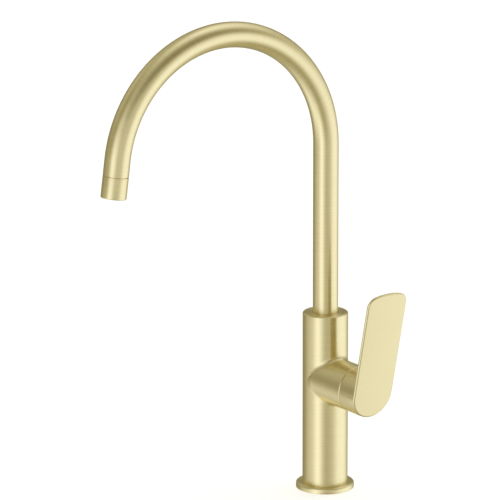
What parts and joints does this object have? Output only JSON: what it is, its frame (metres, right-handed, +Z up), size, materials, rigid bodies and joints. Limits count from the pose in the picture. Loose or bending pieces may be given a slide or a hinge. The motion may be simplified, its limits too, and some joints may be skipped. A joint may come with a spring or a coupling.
{
  "type": "basin mixer tap",
  "caption": "Tall brushed gold mixer tap: round column on a foot ring, swivelling gooseneck spout with aerator, and a side lever with an upright paddle over a ceramic cartridge.",
  "frame": {"origin": "the column's axis on the underside of its foot, on the deck", "axes": "+Z up along the column, -Y towards the spout's tip, +X along the lever boss"},
  "size_m": [0.1186, 0.2557, 0.429],
  "materials": {
    "brushed_gold": "brushed pale gold plating, brushed round each cylinder",
    "polished_gold": "satin pale gold",
    "raw_brass": "turned brass",
    "seal_rubber": "moulded rubber",
    "white_plastic": "moulded acetal",
    "grey_plastic": "moulded plastic",
    "dark_plastic": "moulded plastic",
    "ceramic_white": "lapped ceramic",
    "screw_steel": "turned stainless steel"
  },
  "bodies": {
    "column": {"column_body": "brushed_gold", "base_ring": "brushed_gold", "base_seal": "seal_rubber", "upper_glide_ring": "white_plastic", "spout_lock_screw": "screw_steel", "cartridge_base": "grey_plastic", "port_seals": "seal_rubber", "disc_seals": "seal_rubber", "fixed_disc": "ceramic_white", "cartridge_shell": "grey_plastic", "cartridge_nut": "raw_brass", "bonnet_dome": "polished_gold"},
    "spout": {"spout_tube": "brushed_gold", "spout_nipple": "raw_brass", "nipple_seals": "seal_rubber", "lower_glide_ring": "white_plastic", "spout_end": "brushed_gold", "aerator_sleeve": "brushed_gold", "aerator_gasket": "seal_rubber", "aerator_insert": "white_plastic", "aerator_grille": "grey_plastic"},
    "rotor": {"cartridge_rotor": "grey_plastic", "rotor_seal": "seal_rubber", "pivot_pin": "screw_steel"},
    "lever": {"lever_spindle": "raw_brass", "lever_handle": "brushed_gold", "lever_grub_screw": "screw_steel", "grub_cover": "polished_gold"},
    "carrier": {"disc_carrier": "dark_plastic", "moving_disc": "ceramic_white"}
  },
  "joints": [
    {"name": "spout_swivel", "type": "hinge", "parent": "column", "child": "spout", "pos_m": [0, 0, 0.14], "axis": [0, 0, 1], "continuous": true},
    {"name": "temperature", "type": "hinge", "parent": "column", "child": "rotor", "pos_m": [0.038, 0, 0.0999], "axis": [1, 0, 0], "range_deg": [-45, 45]},
    {"name": "lever_lift", "type": "hinge", "parent": "rotor", "child": "lever", "pos_m": [0.038, 0, 0.0999], "axis": [0, 1, 0], "range_deg": [0, 25]},
    {"name": "disc_slide", "type": "slide", "parent": "rotor", "child": "carrier", "axis": [0, 0, 1], "range_m": [0, 0.005]}
  ],
  "couplings": [
    {"joint": "disc_slide", "follows": "lever_lift", "m_per_rad": 0.011139}
  ]
}
